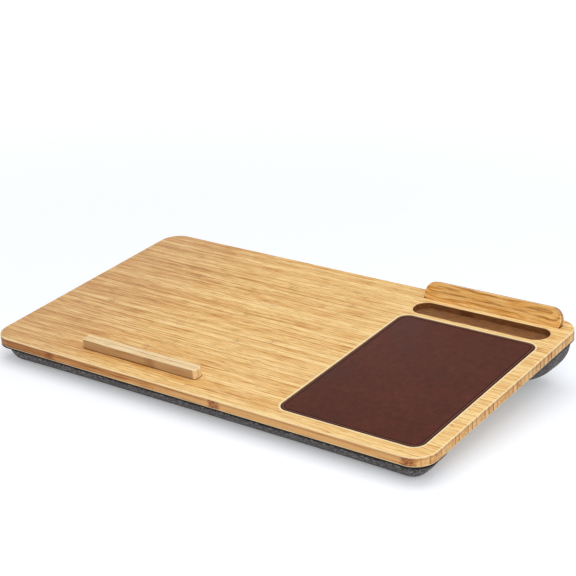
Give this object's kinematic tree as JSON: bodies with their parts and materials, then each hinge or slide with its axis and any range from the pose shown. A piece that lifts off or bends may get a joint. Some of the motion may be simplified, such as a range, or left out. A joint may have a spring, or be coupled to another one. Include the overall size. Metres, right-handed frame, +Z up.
{
  "type": "lap desk",
  "caption": "Sloped lap desk: a wooden board with an inlaid leather mouse pad, a laptop stop, a phone slot and a lift-out phone rest, on two long cloth bolsters.",
  "frame": {"origin": "middle of the desk's box, on the surface that it stands on", "axes": "+X to the user's right along the desk, +Y away from the user, +Z up; the board slopes 7 degrees down to the front"},
  "size_m": [0.52, 0.2908, 0.0791],
  "materials": {
    "bamboo": "satin lacquered bamboo, strips along the length",
    "bamboo_stop": "satin lacquered bamboo",
    "bamboo_rest": "satin lacquered bamboo, wavy figure",
    "pad_leather": "fine-grained dark brown leather",
    "pad_backing": "matt",
    "screw_steel": "zinc plated",
    "base_black": "matt black sheet",
    "foam": "open-cell foam",
    "bolster_cloth": "heathered charcoal cloth"
  },
  "bodies": {
    "desk": {"desk_board": "bamboo", "mouse_pad": "pad_leather", "mouse_pad_backing": "pad_backing", "laptop_stop": "bamboo_stop", "stop_screws": "screw_steel", "front_base": "base_black", "front_foam": "foam", "front_cover": "bolster_cloth", "rear_base": "base_black", "rear_foam": "foam", "rear_cover": "bolster_cloth"},
    "rest": {"phone_rest": "bamboo_rest"}
  },
  "joints": [
    {"name": "phone_rest_lift", "type": "slide", "parent": "desk", "child": "rest", "axis": [0, 0.3007, 0.9537], "range_m": [0, 0.03]}
  ]
}
